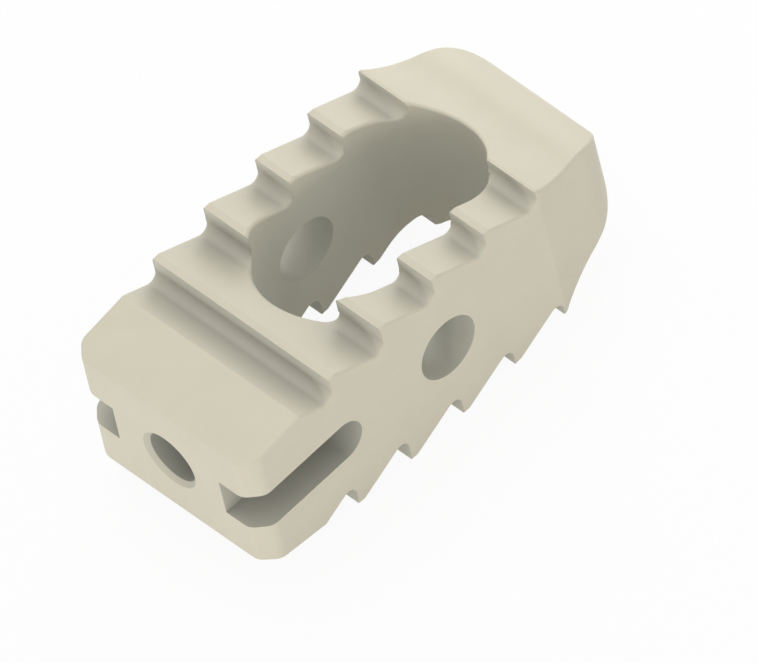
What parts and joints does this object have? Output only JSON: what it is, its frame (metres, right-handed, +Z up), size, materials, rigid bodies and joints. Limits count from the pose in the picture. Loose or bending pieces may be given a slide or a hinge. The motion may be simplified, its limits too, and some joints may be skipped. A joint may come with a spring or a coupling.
{
  "type": "spinal interbody cage",
  "caption": "Rectangular interbody spacer with toothed top and bottom faces, a bullet nose, a graft window, side holes and inserter slots.",
  "frame": {"origin": "under the middle of the length and width, level with the land of the lowest tooth", "axes": "+X along the body towards the bullet nose, +Y across its width, +Z up through the graft window"},
  "size_m": [0.022, 0.01, 0.0088],
  "materials": {
    "implant_plastic": "fine matte machined polymer, opaque warm beige, with softly rounded edges"
  },
  "bodies": {
    "root": {"cage_body": "implant_plastic"}
  },
  "joints": []
}
